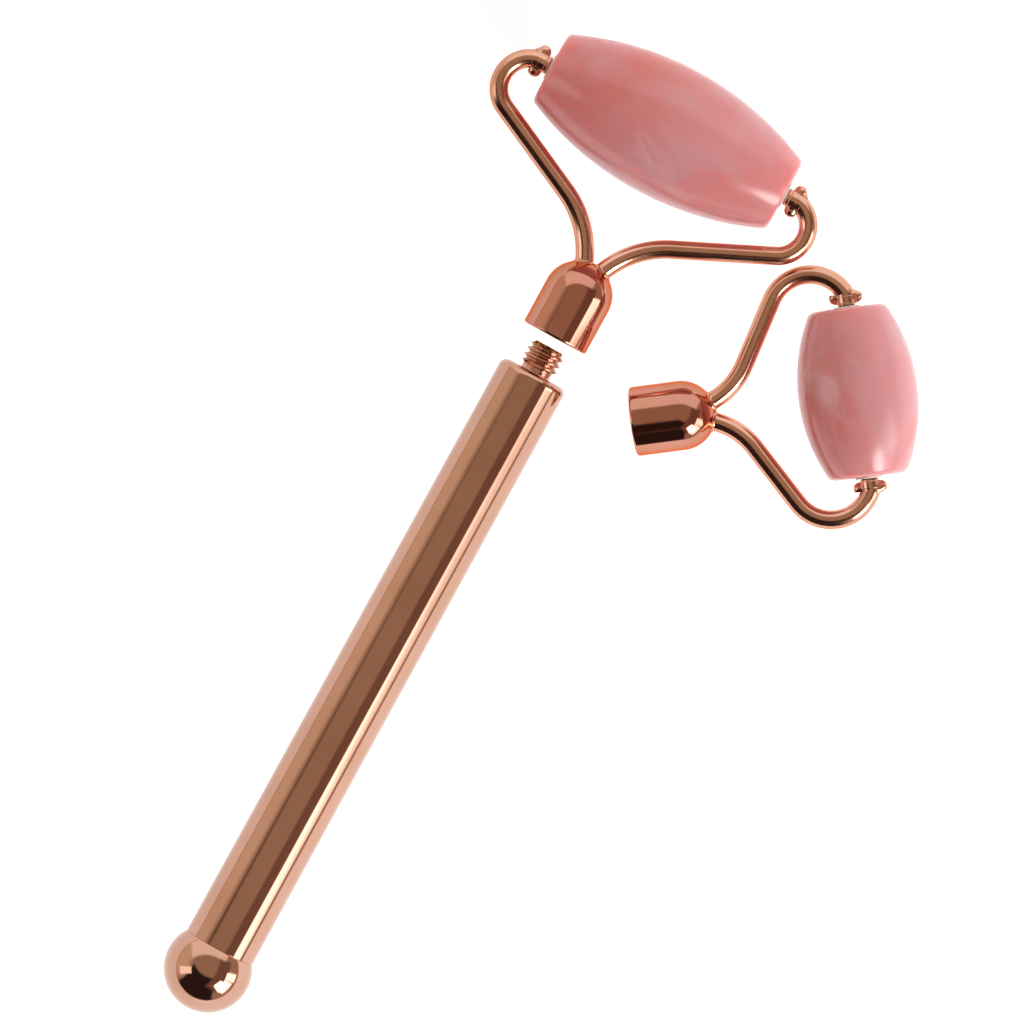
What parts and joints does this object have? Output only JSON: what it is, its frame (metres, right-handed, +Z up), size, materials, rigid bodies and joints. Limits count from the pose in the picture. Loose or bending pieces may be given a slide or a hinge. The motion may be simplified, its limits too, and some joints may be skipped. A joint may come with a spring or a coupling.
{
  "type": "face roller",
  "caption": "Face roller kit lying on a table: plated handle with ball end and threaded stud, large barrel stone head just off the stud, small spare stone head beside them.",
  "frame": {"origin": "on the table under the middle of the whole kit's footprint, as it lies", "axes": "+X along the handle from its ball towards the large stone, +Z up from the table, +Y to the left seen from above with the ball behind"},
  "size_m": [0.1606, 0.0836, 0.0202],
  "materials": {
    "plated_metal": "polished rose-gold plating",
    "raw_brass": "turned brass",
    "rose_quartz": "polished, slightly translucent",
    "nylon": "natural white nylon"
  },
  "bodies": {
    "large_head": {"large_socket": "plated_metal", "large_thread_insert": "raw_brass", "large_left_arm": "plated_metal", "large_right_arm": "plated_metal"},
    "large_roller": {"large_stone": "rose_quartz", "large_left_bush": "nylon", "large_right_bush": "nylon"},
    "handle_carriage": {"top_plug": "raw_brass"},
    "handle": {"ball_end": "plated_metal", "handle_tube": "plated_metal", "threaded_stud": "plated_metal"},
    "small_head": {"small_socket": "plated_metal", "small_thread_insert": "raw_brass", "small_left_arm": "plated_metal", "small_right_arm": "plated_metal"},
    "small_roller": {"small_stone": "rose_quartz", "small_left_bush": "nylon", "small_right_bush": "nylon"}
  },
  "joints": [
    {"name": "large_stone_spin", "type": "hinge", "parent": "large_head", "child": "large_roller", "pos_m": [0.07015, 0.01433, 0.0101], "axis": [0, 1, 0], "continuous": true},
    {"name": "handle_travel", "type": "slide", "parent": "large_head", "child": "handle_carriage", "axis": [0.9997, 0, 0.0237], "range_m": [0, 0.006]},
    {"name": "handle_turn", "type": "hinge", "parent": "handle_carriage", "child": "handle", "pos_m": [0.02872, 0.01433, 0.00912], "axis": [0.9997, 0, 0.0237], "range_deg": [0, 2160]},
    {"name": "small_head_lift", "type": "slide", "parent": "large_head", "child": "small_head", "axis": [0, 0, 1], "range_m": [0, 0.06]},
    {"name": "small_stone_spin", "type": "hinge", "parent": "small_head", "child": "small_roller", "pos_m": [0.04956, -0.02962, 0.00905], "axis": [0.807, 0.5906, 0], "continuous": true}
  ],
  "couplings": [
    {"joint": "handle_turn", "follows": "handle_travel", "rad_per_m": 6283.2}
  ]
}
